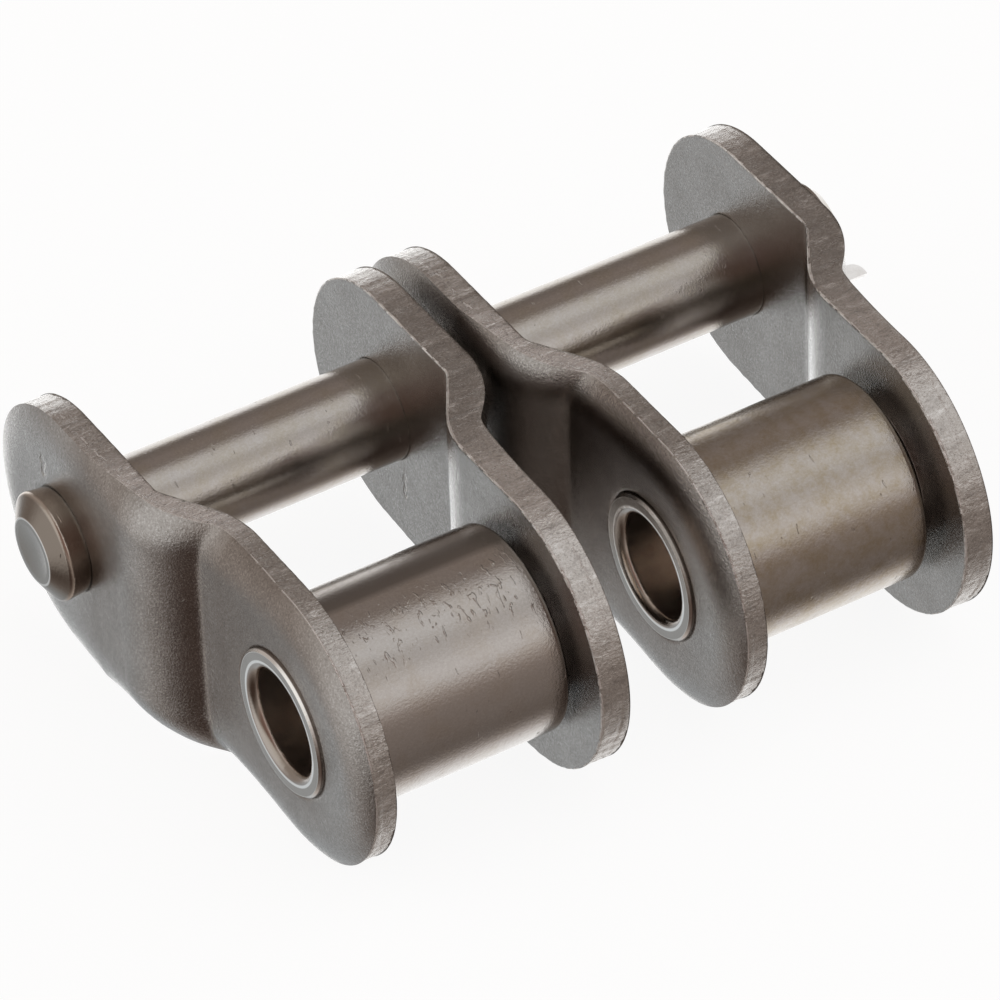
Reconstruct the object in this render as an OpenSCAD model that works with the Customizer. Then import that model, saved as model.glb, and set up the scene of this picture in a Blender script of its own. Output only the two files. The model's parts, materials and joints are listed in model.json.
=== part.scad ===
// Offset link for a double strand roller chain: one crank-plated link that stands for one pitch.
// X runs along the pin and the bushes, Y from the bushes to the pin, Z is up. The origin is on
// the bush axis, half way between the two strands.

/* [Chain] */
// distance from the bush axis to the pin axis
chain_pitch = 19.05; // [18.5:0.05:19.6]
// free width between the two plates of a strand at the bushes
bush_end_width = 12.4; // [12:0.1:12.8]
// free width between the two plates of a strand at the pin
pin_end_width = 17.74; // [17.2:0.02:17.9]
// gap between the two middle plates at the pin
middle_gap = 0.84; // [0.6:0.02:1.4]

/* [Plates] */
// thickness of every plate
plate_thickness = 2.1; // [1.9:0.05:2.2]
// half height of a plate at the bushes, and the radius of its rounded end there
bush_end_radius = 8.4; // [7.9:0.05:9]
// half height of a plate at the pin, and the radius of its rounded end there
pin_end_radius = 7.65; // [7.2:0.05:7.9]
// distance from the bush axis to the first bend of the inner face
first_bend = 7.2; // [6.8:0.1:7.4]
// distance from the bush axis to the second bend of the inner face
second_bend = 11.6; // [11.4:0.1:11.9]
// radius of the inner face's first bend, where it is full
full_bend_radius = 3.3; // [2.8:0.1:3.6]
// radius of the inner face's second bend, where it is hollow
hollow_bend_radius = 1.2; // [0.8:0.1:1.6]
// distance from the bush axis to the hollow crease of the outer face
crease_distance = 7.5; // [7.2:0.1:7.7]
// radius in the hollow crease of the outer face
crease_radius = 0.5; // [0.4:0.1:0.8]
// distance from the bush axis to where the full curve of the outer face ends
curve_end = 12.6; // [12.2:0.1:13]

/* [Bushes] */
// outer diameter of a bush
bush_diameter = 8.5; // [8.3:0.05:8.8]
// bore of a bush, in which the pin of the next link turns
bush_bore = 6.02; // [5.98:0.01:6.1]
// how far a bush stands out of the plates at each side
bush_stand_out = 0.2; // [0.1:0.05:0.3]
// radius of the rounded lip at both mouths of the bore
lip_radius = 0.55; // [0.3:0.05:0.9]
// width of the chamfer round the outside of a bush
bush_chamfer = 0.15; // [0.05:0.05:0.18]

/* [Rollers] */
// outer diameter of a roller
roller_diameter = 11.91; // [11.5:0.01:12.1]
// radial running clearance between a roller and its bush
roller_clearance = 0.06; // [0.02:0.01:0.1]
// free play of a roller between its two plates, both sides together
roller_end_play = 0.7; // [0.65:0.05:0.9]
// how far the right roller rests to the left of the middle of its play
roller_rest_shift = 0.3; // [0:0.05:0.3]
// radius on the outer edges of a roller
roller_edge_radius = 0.4; // [0.2:0.05:0.6]
// chamfer at the mouth of a roller's bore
roller_bore_chamfer = 0.25; // [0.1:0.05:0.4]

/* [Pin] */
// diameter of the pin
pin_diameter = 5.96; // [5.8:0.01:5.97]
// largest diameter of the upset head
head_diameter = 6.36; // [6.2:0.02:6.6]
// distance from the plate to the widest part of the head
head_waist = 1.2; // [1:0.05:1.4]
// distance from the plate to the flat end of the head
head_length = 1.9; // [1.7:0.05:2.2]
// radius that rounds the widest part of the head
head_shoulder_radius = 0.3; // [0.2:0.05:0.4]
// diameter of the flat end of the head
head_face_diameter = 3.94; // [3.4:0.02:4.4]
// depth of the shallow dish in the flat end of the head
dish_depth = 0.12; // [0.05:0.01:0.15]
// how far the pin reaches past the last plate at the cotter end
pin_tail = 3.5; // [3.3:0.1:4]
// chamfer on the cotter end of the pin
pin_chamfer = 0.45; // [0.3:0.05:0.6]

/* [Cotter] */
// diameter of the hole across the pin for the cotter
cotter_hole = 1.9; // [1.85:0.05:2]
// diameter of the two half-round legs of the cotter laid together
cotter_diameter = 1.7; // [1.6:0.05:1.75]
// distance from the last plate to the middle of the cotter
cotter_distance = 1.35; // [1.2:0.05:1.5]
// angle through which the longer leg is curved away from the hole
leg_spread = 60; // [40:1:75]
// how much less the other leg is curved
leg_difference = 8; // [0:1:20]
// radius on the hollow side of a curved leg
leg_bend = 3.6; // [2.5:0.1:4]
// gap between the flat sides of the two legs
leg_gap = 0.1; // [0.06:0.02:0.14]
// inner radius of the cotter's eye
eye_radius = 1; // [0.9:0.05:1.2]
// half of the angle at which the eye is open towards its legs
eye_opening = 18; // [12:1:22]

/* [Hidden] */
$fn = 96;
// how much wider than the shank the head is where it meets the plate
head_grip = 0.06;
// width of the flat rim round the dish in the head
head_rim = 0.38;
// gap between the pin and the cotter's eye
eye_gap = 0.25;
// how far the straight legs stop short of the inside of the eye
eye_overlap = 0.13;
crank = (pin_end_width - bush_end_width) / 2;
slope = atan(crank / (second_bend - first_bend));
curve_reach = curve_end - crease_distance;
curve_radius = (pow(crank, 2) + pow(curve_reach, 2)) / (2 * crank);
flank = asin((bush_end_radius - pin_end_radius) / chain_pitch);
plate_room = 2 * bush_end_radius + 2;
strand = (pin_end_width + middle_gap) / 2 + plate_thickness;
bush_length = bush_end_width + 2 * plate_thickness + 2 * bush_stand_out;
roller_length = bush_end_width - roller_end_play;
roller_bore = bush_diameter + 2 * roller_clearance;
last_plate = strand + pin_end_width / 2 + plate_thickness;
pin_start = -last_plate - head_length;
pin_stop = last_plate + pin_tail;
cotter_x = last_plate + cotter_distance;
neck = pin_diameter / 2 + head_grip;
dish_mouth = head_face_diameter / 2 - head_rim;
dish_radius = (pow(dish_mouth, 2) + pow(dish_depth, 2)) / (2 * dish_depth);
wire_radius = cotter_diameter / 2;
leg_exit = pin_diameter / 2 + 0.1;
eye_centre = pin_diameter / 2 + eye_gap + eye_radius + wire_radius;
leg_stop = eye_centre - eye_radius - eye_overlap;
steel = [0.47, 0.44, 0.41];
dark_steel = [0.40, 0.37, 0.34];
bright_steel = [0.62, 0.60, 0.57];

// Plate blank as it is cut, thick along X: two round ends joined by straight flanks.
module plate_blank(thick) {
    rotate([0, 90, 0])
        cylinder(h = thick, r = bush_end_radius);
    translate([0, chain_pitch, 0])
        rotate([0, 90, 0])
            cylinder(h = thick, r = pin_end_radius);
    rotate([90, 0, 90])
        linear_extrude(height = thick)
            polygon([
                [bush_end_radius * sin(flank), bush_end_radius * cos(flank)],
                [chain_pitch + pin_end_radius * sin(flank), pin_end_radius * cos(flank)],
                [chain_pitch + pin_end_radius * sin(flank), -pin_end_radius * cos(flank)],
                [bush_end_radius * sin(flank), -bush_end_radius * cos(flank)]
            ]);
}

// What rounds a corner: its own area up to the tangent points, outside the circle.
// at is the corner, from and to are the directions of its two sides, out goes past the corner.
module round_corner(at, radius, from, to, out) {
    reach = radius / tan((to - from) / 2);
    centre = radius / sin((to - from) / 2);
    middle = (from + to) / 2;
    translate(at)
        difference() {
            polygon([
                [centre * cos(middle), centre * sin(middle)],
                [reach * cos(from), reach * sin(from)],
                [-out * cos(middle), -out * sin(middle)],
                [reach * cos(to), reach * sin(to)]
            ]);
            translate([centre * cos(middle), centre * sin(middle)])
                circle(r = radius);
        }
}

// Draws a section in the XY plane as a bar that is taller than the plates.
module bar() {
    translate([0, 0, -plate_room / 2])
        linear_extrude(height = plate_room)
            children();
}

// Strip that follows the inner face: flat, a slope between a full and a hollow bend, flat.
module inner_strip() {
    low = -bush_end_radius - 1;
    high = chain_pitch + pin_end_radius + 1;
    top = crank + plate_thickness;
    difference() {
        union() {
            bar()
                polygon([
                    [0, low],
                    [top, low],
                    [top, high],
                    [crank, high],
                    [crank, second_bend],
                    [0, first_bend]
                ]);
            bar()
                round_corner([crank, second_bend], hollow_bend_radius, 90, 270 - slope, 0.6);
        }
        bar()
            round_corner([0, first_bend], full_bend_radius, -90, 90 - slope, 0.6);
    }
}

// What the press leaves free at the outer face: past the bushes' flat, over crease and curve.
module outer_room() {
    joint = curve_radius + crease_radius;
    crease_y = curve_end - sqrt(crank * (2 * joint - crank));
    crease_centre = [plate_thickness + crease_radius, crease_y];
    curve_centre = [crank + plate_thickness - curve_radius, curve_end];
    inward = (curve_centre - crease_centre) / joint;
    top = crank + plate_thickness + 1;
    difference() {
        bar()
            polygon([
                [plate_thickness, -bush_end_radius - 1],
                [top, -bush_end_radius - 1],
                [top, curve_end],
                [plate_thickness, curve_end]
            ]);
        bar()
            translate(curve_centre)
                circle(r = curve_radius);
        difference() {
            bar()
                polygon([
                    crease_centre,
                    crease_centre + 2 * crease_radius * inward,
                    crease_centre + [-2 * crease_radius, crease_radius],
                    crease_centre + [-2 * crease_radius, 0]
                ]);
            bar()
                translate(crease_centre)
                    circle(r = crease_radius);
        }
    }
}

// A plate whose inner face at the bushes is at x = 0 and whose pin end is cranked towards +X.
module cranked_plate() {
    difference() {
        intersection() {
            difference() {
                inner_strip();
                outer_room();
            }
            translate([-1, 0, 0])
                plate_blank(crank + plate_thickness + 2);
        }
        translate([-1, 0, 0])
            rotate([0, 90, 0])
                cylinder(h = plate_thickness + 2, d = bush_diameter);
        translate([crank - 1, chain_pitch, 0])
            rotate([0, 90, 0])
                cylinder(h = plate_thickness + 2, d = pin_diameter);
    }
}

module plate_outer_left() {
    color(steel)
        translate([-strand - bush_end_width / 2, 0, 0])
            mirror([1, 0, 0])
                cranked_plate();
}

module plate_inner_left() {
    color(steel)
        translate([-strand + bush_end_width / 2, 0, 0])
            cranked_plate();
}

module plate_inner_right() {
    color(steel)
        translate([strand - bush_end_width / 2, 0, 0])
            mirror([1, 0, 0])
                cranked_plate();
}

module plate_outer_right() {
    color(steel)
        translate([strand + bush_end_width / 2, 0, 0])
            cranked_plate();
}

// A bush centred on x = 0, with rounded lips at both mouths and chamfered outer edges.
module bush() {
    half = bush_length / 2;
    outside = bush_diameter / 2;
    inside = bush_bore / 2;
    rotate([0, 90, 0])
        rotate_extrude()
            difference() {
                polygon([
                    [inside, -half],
                    [outside - bush_chamfer, -half],
                    [outside, -half + bush_chamfer],
                    [outside, half - bush_chamfer],
                    [outside - bush_chamfer, half],
                    [inside, half]
                ]);
                round_corner([inside, -half], lip_radius, 0, 90, 0.6);
                round_corner([inside, half], lip_radius, -90, 0, 0.6);
            }
}

module bush_left() {
    color(bright_steel)
        translate([-strand, 0, 0])
            bush();
}

module bush_right() {
    color(bright_steel)
        translate([strand, 0, 0])
            bush();
}

// A roller centred on x = 0, with rounded outer edges and a chamfered bore.
module roller() {
    half = roller_length / 2;
    outside = roller_diameter / 2;
    inside = roller_bore / 2;
    edge = roller_edge_radius;
    rotate([0, 90, 0])
        rotate_extrude()
            union() {
                polygon([
                    [inside, -half + roller_bore_chamfer],
                    [inside + roller_bore_chamfer, -half],
                    [outside - edge, -half],
                    [outside - edge, half],
                    [inside + roller_bore_chamfer, half],
                    [inside, half - roller_bore_chamfer]
                ]);
                translate([outside - edge, -half + edge])
                    square([edge, roller_length - 2 * edge]);
                for (side = [-1, 1])
                    intersection() {
                        translate([outside - edge, side * (half - edge)])
                            circle(r = edge);
                        translate([outside - edge, side > 0 ? half - edge : -half])
                            square([edge, edge]);
                    }
            }
}

module roller_left() {
    color(dark_steel)
        translate([-strand, 0, 0])
            roller();
}

module roller_right() {
    color(dark_steel)
        translate([strand - roller_rest_shift, 0, 0])
            roller();
}

// Section of the pin from its axis outwards, head first.
module pin_section() {
    shank = pin_diameter / 2;
    head = head_diameter / 2;
    face = head_face_diameter / 2;
    waist = -last_plate - head_waist;
    difference() {
        polygon([
            [0, pin_start],
            [face, pin_start],
            [head, waist],
            [neck, -last_plate],
            [shank, -last_plate],
            [shank, pin_stop - pin_chamfer],
            [shank - pin_chamfer, pin_stop],
            [0, pin_stop]
        ]);
        round_corner([head, waist], head_shoulder_radius, atan2(head_waist, neck - head),
                     360 + atan2(pin_start - waist, face - head), 0.3);
    }
}

// The pin: upset head at the left, plain shank, chamfered tail with the hole for the cotter.
module pin() {
    color(dark_steel)
        difference() {
            translate([0, chain_pitch, 0])
                rotate([0, 90, 0])
                    rotate_extrude()
                        pin_section();
            translate([pin_start + dish_depth - dish_radius, chain_pitch, 0])
                sphere(r = dish_radius);
            translate([cotter_x, chain_pitch - pin_diameter / 2 - 1, 0])
                rotate([-90, 0, 0])
                    cylinder(h = pin_diameter + 2, d = cotter_hole);
        }
}

// Half-round section of the cotter wire, flat side on the line y = 0.
module wire_section() {
    intersection() {
        circle(r = wire_radius);
        translate([-wire_radius - 1, 0])
            square([2 * wire_radius + 2, wire_radius + 1]);
    }
}

// One half of the cotter pin: straight through the hole, then opened in a curve.
module cotter_half(spread) {
    turned = leg_bend + wire_radius;
    translate([0, leg_stop, leg_gap / 2])
        rotate([90, 0, 0])
            linear_extrude(height = leg_stop + leg_exit)
                wire_section();
    translate([0, -leg_exit, leg_gap / 2 + turned])
        rotate([0, 90, 0])
            rotate([180, 0, 0])
                rotate_extrude(angle = spread)
                    translate([turned, 0])
                        rotate([0, 0, 90])
                            wire_section();
}

// The eye: an open ring of the same half-round wire, flat side inwards.
module cotter_eye() {
    translate([0, eye_centre, 0])
        rotate([0, 90, 0])
            rotate([0, 0, eye_opening - 90])
                rotate_extrude(angle = 360 - 2 * eye_opening)
                    translate([eye_radius, 0])
                        rotate([0, 0, -90])
                            wire_section();
}

module cotter_pin() {
    color(bright_steel)
        translate([cotter_x, chain_pitch, 0]) {
            cotter_half(leg_spread);
            mirror([0, 0, 1])
                cotter_half(leg_spread - leg_difference);
            cotter_eye();
        }
}

plate_outer_left();
plate_inner_left();
plate_inner_right();
plate_outer_right();
bush_left();
bush_right();
roller_left();
roller_right();
pin();
cotter_pin();
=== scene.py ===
"""Looks of the offset link: detailed plates, worn steel, studio world and camera."""

import json
from math import asin, atan2, ceil, cos, pi, radians, sin, sqrt, tan

import bpy
from mathutils import Matrix, Vector, noise
from mathutils.geometry import delaunay_2d_cdt


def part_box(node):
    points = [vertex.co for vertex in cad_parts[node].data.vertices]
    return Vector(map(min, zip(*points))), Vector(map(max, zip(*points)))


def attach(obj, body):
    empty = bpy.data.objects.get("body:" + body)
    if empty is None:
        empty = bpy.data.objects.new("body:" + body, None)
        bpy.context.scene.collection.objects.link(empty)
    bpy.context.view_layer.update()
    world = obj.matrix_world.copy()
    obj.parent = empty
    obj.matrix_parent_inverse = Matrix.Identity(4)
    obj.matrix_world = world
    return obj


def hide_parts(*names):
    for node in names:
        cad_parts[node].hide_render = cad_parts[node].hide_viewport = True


MM = 0.001

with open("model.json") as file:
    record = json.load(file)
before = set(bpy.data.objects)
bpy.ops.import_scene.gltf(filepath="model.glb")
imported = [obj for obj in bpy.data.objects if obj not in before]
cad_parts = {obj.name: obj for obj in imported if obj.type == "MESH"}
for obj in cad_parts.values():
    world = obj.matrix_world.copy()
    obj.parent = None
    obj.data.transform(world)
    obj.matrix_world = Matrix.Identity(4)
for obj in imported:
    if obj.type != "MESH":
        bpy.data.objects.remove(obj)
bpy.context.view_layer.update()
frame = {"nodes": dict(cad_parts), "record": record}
nodes = frame["nodes"]
mounts = {m["name"]: m for m in frame["record"]["mounts"]}

# Sizes taken from the frame, in millimetres; its facets lie a little inside the round sizes
FACETS = 0.005
PITCH = mounts["pin_seats"]["pos_m"][1] / MM
PIN_RADIUS = mounts["pin_seats"]["dims"]["r_mm"]
BUSH_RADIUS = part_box("bush_left")[1].z / MM + FACETS
BORE_RADIUS = mounts["bush_bores"]["dims"]["r_mm"]
PIN_END_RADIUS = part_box("plate_outer_left")[1].y / MM - PITCH + FACETS

# Sizes of the bent plates, in millimetres: bush end, thickness, and the crank of the inner face
BUSH_END_RADIUS = 8.4
THICKNESS = 2.1
CRANK = 2.67
FIRST_BEND = 7.2
SECOND_BEND = 11.6
FULL_BEND = 6.5
HOLLOW_BEND = 1.2
SLOPE = atan2(CRANK, SECOND_BEND - FIRST_BEND)

# Outer face: curve's end, crease in the middle, how far it bows and how steeply, its softness in
# the middle and at the flanks, and the length before the curve's end over which that fades
CURVE_END = 12.6
CREASE_MIDDLE = 7.75
CREASE_BOW = 0.75
BOW_POWER = 4
CREASE_SOFTNESS = (0.08, 0.45)
SOFTNESS_FADE = 2

# How far the outer face leans out before the crease, and where it starts to
LEAN = 0.30
LEAN_START = 1

# Slant of the flanks between the two round ends
FLANK = asin((BUSH_END_RADIUS - PIN_END_RADIUS) / PITCH)

# Spacing of the plates' points, in millimetres: rings inside the rim and round the holes, steps
# along them, and rows across the face, which are closer together over the bends
ROLL_RINGS = (0.0, 0.02, 0.05, 0.09, 0.15, 0.23, 0.33, 0.46, 0.62, 0.8, 1.02, 1.28, 1.58, 1.92, 2.3)
HOLE_RINGS = (0.0, 0.03, 0.08, 0.16, 0.3)
EDGE_STEP = 0.12
HOLE_STEP = 0.16
POINT_STEP = 0.42
ROW_STEP = 0.36
BEND_ROW_STEP = 0.13
BENDS = (4.6, 13.2)
WALL_ROWS = 20

# Room that the inner points keep from the rings, and how far past a ring a triangle may reach
RIM_ROOM = 0.15
HOLE_ROOM = 0.12
SNAP = 0.004

# Rounded rim, in millimetres: its width, how steeply it falls, and where along the plate its depth
# changes from the bush end's to the crank's and on to the pin end's, each as start and length
ROLL_WIDTH = 2.4
ROLL_POWER = 2.2
ROLL_TO_CRANK = (1, 5)
ROLL_TO_PIN = (12, 4)

# Depth and width of the rounding at the holes, how far the faces lie inside the plate and how far
# they wave, all in millimetres, and the swells of that wave
OUTER_HOLE_ROLL = (0.12, 0.28)
INNER_HOLE_ROLL = (0.05, 0.1)
SINK = 0.015
WAVE = 0.015
WAVE_SCALE = 0.22

# Order of a plate's materials, and the angle from which its edges shade sharp
FACE, EDGE, BURR = range(3)
SHARP = radians(50)

# Where the cut is roughest: angles round the pin's and the bushes' ends, and the upper flank from
# this place along the plate
PIN_TIP = radians(72)
BUSH_TIP = (radians(197), radians(300))
ROUGH_FLANK = 8

# Depth of the cut's parts: corner at the rolled face and crack at the tear line (each with its
# reach as a share of the thickness), torn part with its speckle, streaks at the ends (plates with
# a burr, plates without) and along the flanks
CUT_CORNER = (0.04, 0.12)
CRACK = (0.05, 0.07)
TORN_START = 0.06
TORN = (0.02, 0.016)
END_PUSH = 0.045
END_STREAKS = (0.032, 0.045)
FLANK_PUSH = 0.006

# Swells of the cut in a millimetre: crack, broad and fine streaks, and speckle; the fine streaks'
# share, and how often the speckle changes across the thickness
CRACK_SCALE = 0.4
STREAK_SCALES = (2.0, 4.2)
FINE_STREAK = 0.6
SPECKLE_SCALE = 3.2
SPECKLE_ROWS = 7

# Tear line: its share of the thickness, with slow and quick wander and the swells of each
TEAR = 0.34
TEAR_WANDER = 0.07
TEAR_JITTER = 0.05
TEAR_SCALES = (0.5, 2.4)

# Burr round the inner face: strength above which a plate counts as burred, width, how deep the
# rim starts and its share of the thickness; then how far it stands back at least, how much more it
# may, which share of that is usual and how far the grain changes it, and the grain's swells
BURRED = 0.5
BURR_WIDTH = 0.1
BURR_SINK = 0.02
BURR_START = 0.94
BURR_LEAST = 0.02
BURR_MORE = 0.06
BURR_USUAL = 0.5
BURR_GRAIN = 0.9
BURR_SCALE = 2.3

# Rubbed bright on the wall, in the burr steel with its painted glint: the burr from this share, the
# corner of the rolled face up to a share and a place along the plate, and the tear line from a
# place on; each where its grain is high
RUB_SCALE = 1.6
RUBBED_BURR = 0.93
RUBBED_BURR_GRAIN = -0.15
RUBBED_CORNER = 0.05
RUBBED_CORNER_END = 5.0
RUBBED_CORNER_GRAIN = -0.1
RUBBED_TEAR = 0.06
RUBBED_TEAR_START = PITCH - 6
RUBBED_TEAR_GRAIN = 0.12

# Steel of the pieces, each with the tint of its patches
FACE_STEEL = (0.37, 0.348, 0.327)
FACE_TINT = (0.43, 0.408, 0.387)
# Burr steel: bare rubbed steel, painted brighter as a glint
BURR_STEEL_AND_GLINT = (0.92, 0.90, 0.88)
BURR_GLINT_TINT = (0.70, 0.67, 0.64)
WORN_STEEL = (0.44, 0.41, 0.385)
ROLLER_TINT = (0.41, 0.365, 0.32)
PIN_TINT = (0.41, 0.37, 0.31)
TEMPERED_STEEL = (0.45, 0.412, 0.375)
TEMPERED_TINT = (0.37, 0.31, 0.225)
# Cotter: paler steel, painted brighter as a highlight
COTTER_STEEL_AND_HIGHLIGHT = (0.90, 0.89, 0.88)
COTTER_HIGHLIGHT_TINT = (0.78, 0.76, 0.73)
TURNED_SPECK = (0.62, 0.60, 0.58)

# Left roller: where its scuffs and the dark band beside them begin and end, in millimetres
SCUFF_HEIGHT = (4.3, 4.9)
SCUFF_FRONT = (0.0, -1.0)
BAND_START = (0.0, 0.5)
BAND_END = (1.7, 2.6)
BAND_HEIGHT = (4.0, 5.0)
BAND = (0.25, 0.23, 0.21)

# Bush: bore with painted light, mouth, end face, painted highlight rings; mouth width in
# millimetres
BORE = (0.85, 0.78, 0.72)
MOUTH_START = (0.44, 0.39, 0.34)
MOUTH_END = (0.40, 0.36, 0.33)
INNER_RING_HIGHLIGHT = (0.95, 0.93, 0.90)
END_FACE = (0.40, 0.37, 0.34)
OUTER_RING_HIGHLIGHT = (0.90, 0.88, 0.85)
MOUTH_WIDTH = 0.42

# Pin's head: where it begins, radius of its flat face, and its colours, with a painted highlight
# ring round the face
HEAD_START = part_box("plate_outer_left")[0].x / MM
HEAD_FACE = 1.97
HEAD_MIDDLE = (0.29, 0.265, 0.24)
HEAD_FLAT = (0.32, 0.295, 0.27)
HEAD_RING_HIGHLIGHT = (0.72, 0.69, 0.66)
HEAD_CONE = (0.235, 0.20, 0.17)
HEAD_SIDE = (0.54, 0.475, 0.415)

# Browner and darker tone on the outward faces of the left hand plates, at both ends of the crank:
# where it comes in and fades along the plate and at the bottom, and how much of it is left at the
# pin
BROWN_TONE = (0.64, 0.58, 0.54)
BROWN_TONE_BUSH_SIDE = ((-7.0, -1.0), (6.0, 9.0))
BROWN_TONE_PIN_SIDE = ((11.0, 13.0), (16.0, 19.0))
BROWN_TONE_PIN_SHARE = 0.8
BROWN_TONE_BOTTOM = (-8.0, -4.0)

# Specks, streaks and rubbed places on the plates
DULL_SPECK = (0.24, 0.225, 0.21)
BRIGHT_SPECK = (0.66, 0.65, 0.64)
DULL_STREAK = (0.22, 0.20, 0.185)
BRIGHT_STREAK = (0.95, 0.94, 0.92)
RUBBED = (0.95, 0.94, 0.93)

# Where the die rubbed the inner face: start and end along the plate, and the X of its direction
PRESSED_START = (FIRST_BEND - 0.5, FIRST_BEND + 0.5)
PRESSED_END = (FIRST_BEND + 2.0, FIRST_BEND + 3.0)
PRESSED_SIDE = (0.2, -0.2)

# Noises: swells in a millimetre, detail, roughness and distortion
BROAD_NOISE = (0.35, 3.0)
SPECK_NOISE = (7.5, 4.0, 0.8)
STREAK_NOISE = (1.6, 5.0, 0.7, 0.3)
GRAIN_NOISE = (9.0, 3.0, 0.65)
SWELL_NOISE = (0.7, 2.0)
DENT_NOISE = (1.7, 1.0)
RAGGED_NOISE = (2.5, 3.0)
SHEAR_NOISE = (4.0, 4.0, 0.6, 0.3)
CHIP_NOISE = (7.0, 3.0, 0.7)
TURNED_NOISE = (6.5, 3.0, 0.65)
TICK_NOISE = (1.3, 2.0, 0.5, 0.6)
SCUFF_NOISE = (2.0, 2.0, 0.5, 0.7)
MOTTLE_NOISE = (7.0, 2.0, 0.7)
PATCH_DETAIL = 4.0
TINT_DETAIL = (6.0, 0.7)

# Swells of the noises by axis: few along X make streaks across the thickness, many make marks
# that run round the axis
STREAK_STRETCH = (0.35, 1.0, 1.0)
SHEAR_STRETCH = (0.22, 1.0, 1.0)
CHIP_STRETCH = (0.8, 1.0, 1.0)
EDGE_PATCH_STRETCH = (0.3, 1.0, 1.0)
TICK_STRETCH = (2.2, 0.7, 0.7)
SCUFF_STRETCH = (1.5, 0.6, 0.6)

# Fades of the noises: where each begins and ends, and what it gives there if not 0 and 1
BROAD_FADE = (0.35, 0.65)
BRIGHT_SPECK_FADE = (0.52, 0.68, 0.0, 0.65)
DULL_SPECK_FADE = (0.33, 0.48, 0.75, 0.0)
BRIGHT_STREAK_FADE = (0.54, 0.68, 0.0, 0.45)
DULL_STREAK_FADE = (0.34, 0.47, 0.4, 0.0)
PATCH_FADE = (0.3, 0.7)
DENT_FADE = (0.72, 0.80, 1.0, 0.0)
NICK_FADE = (0.5, 1.0)
TICK_FADE = (0.71, 0.75, 1.0, 0.0)
SCUFF_FADE = (0.60, 0.68)
MOTTLE_FADE = (0.40, 0.75, 0.0, 0.22)

# Relief of the steel, in millimetres, and how strongly the dents show
GRAIN_DEPTH = 0.029
SWELL_DEPTH = 0.02
DENT_DEPTH = 0.015
DENT_STRENGTH = 0.8
NICK_DEPTH = 0.12
CHIP_DEPTH = 0.045
SCUFF_DEPTH = 0.03

# Wear of the cut edges along the plate, with painted light and shade: place in millimetres and
# colour
EDGE_WEAR_AND_LIGHT_ZONES = (
    (-6.0, (0.50, 0.47, 0.44)), (-2.0, (0.64, 0.61, 0.58)), (3.0, (0.64, 0.61, 0.58)),
    (8.0, (0.36, 0.335, 0.31)), (18.0, (0.41, 0.385, 0.36)), (21.0, (0.62, 0.59, 0.56)),
    (24.0, (0.88, 0.87, 0.85)),
)
WORN_EDGE_WEAR_AND_LIGHT_ZONES = (
    (-3.0, (0.50, 0.47, 0.44)), (1.0, (0.42, 0.39, 0.36)), (4.5, (0.42, 0.39, 0.36)),
    (8.0, (0.86, 0.84, 0.82)), (13.0, (0.86, 0.84, 0.82)), (16.0, (0.52, 0.49, 0.46)),
    (20.0, (0.56, 0.53, 0.50)), (24.0, (0.88, 0.87, 0.85)),
)

# Nicks in the plates' faces: centre and half size in millimetres
NICKS = (
    ((-22.36, 20.9, 3.9), (1.5, 0.22, 1.0)),
    ((-2.52, 16.8, -3.9), (1.5, 0.22, 1.1)),
)

# Camera that sees the link as the photograph does; lengths in millimetres
CAMERA_AZIMUTH = radians(-119.479)
CAMERA_ELEVATION = radians(41.192)
CAMERA_ROLL = radians(-2.182)
CAMERA_DISTANCE = 493.53
CAMERA_TARGET = Vector((6.747, 22.655, -13.674))
CAMERA_LENS = 315.29
CAMERA_SENSOR = 36.0
CAMERA_CLIP = (10.0, 20000.0)


def add_camera():
    """Camera turned by azimuth, elevation and roll, at its distance from the target."""
    back = Vector((
        cos(CAMERA_ELEVATION) * cos(CAMERA_AZIMUTH),
        cos(CAMERA_ELEVATION) * sin(CAMERA_AZIMUTH),
        sin(CAMERA_ELEVATION),
    ))
    level = Vector((-sin(CAMERA_AZIMUTH), cos(CAMERA_AZIMUTH), 0.0))
    upward = back.cross(level)
    right = cos(CAMERA_ROLL) * level + sin(CAMERA_ROLL) * upward
    up = cos(CAMERA_ROLL) * upward - sin(CAMERA_ROLL) * level
    data = bpy.data.cameras.new("camera")
    data.sensor_width = CAMERA_SENSOR
    data.lens = CAMERA_LENS
    data.clip_start, data.clip_end = (clip * MM for clip in CAMERA_CLIP)
    camera = bpy.data.objects.new("camera", data)
    turn = Matrix((right, up, back)).transposed().to_4x4()
    camera.matrix_world = Matrix.Translation((CAMERA_TARGET + back * CAMERA_DISTANCE) * MM) @ turn
    bpy.context.scene.collection.objects.link(camera)
    bpy.context.scene.camera = camera


# Places of the colours among a Mix node's inputs, and of the colour among its outputs
MIX_COLOURS = (6, 7)
MIX_RESULT = 2


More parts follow.
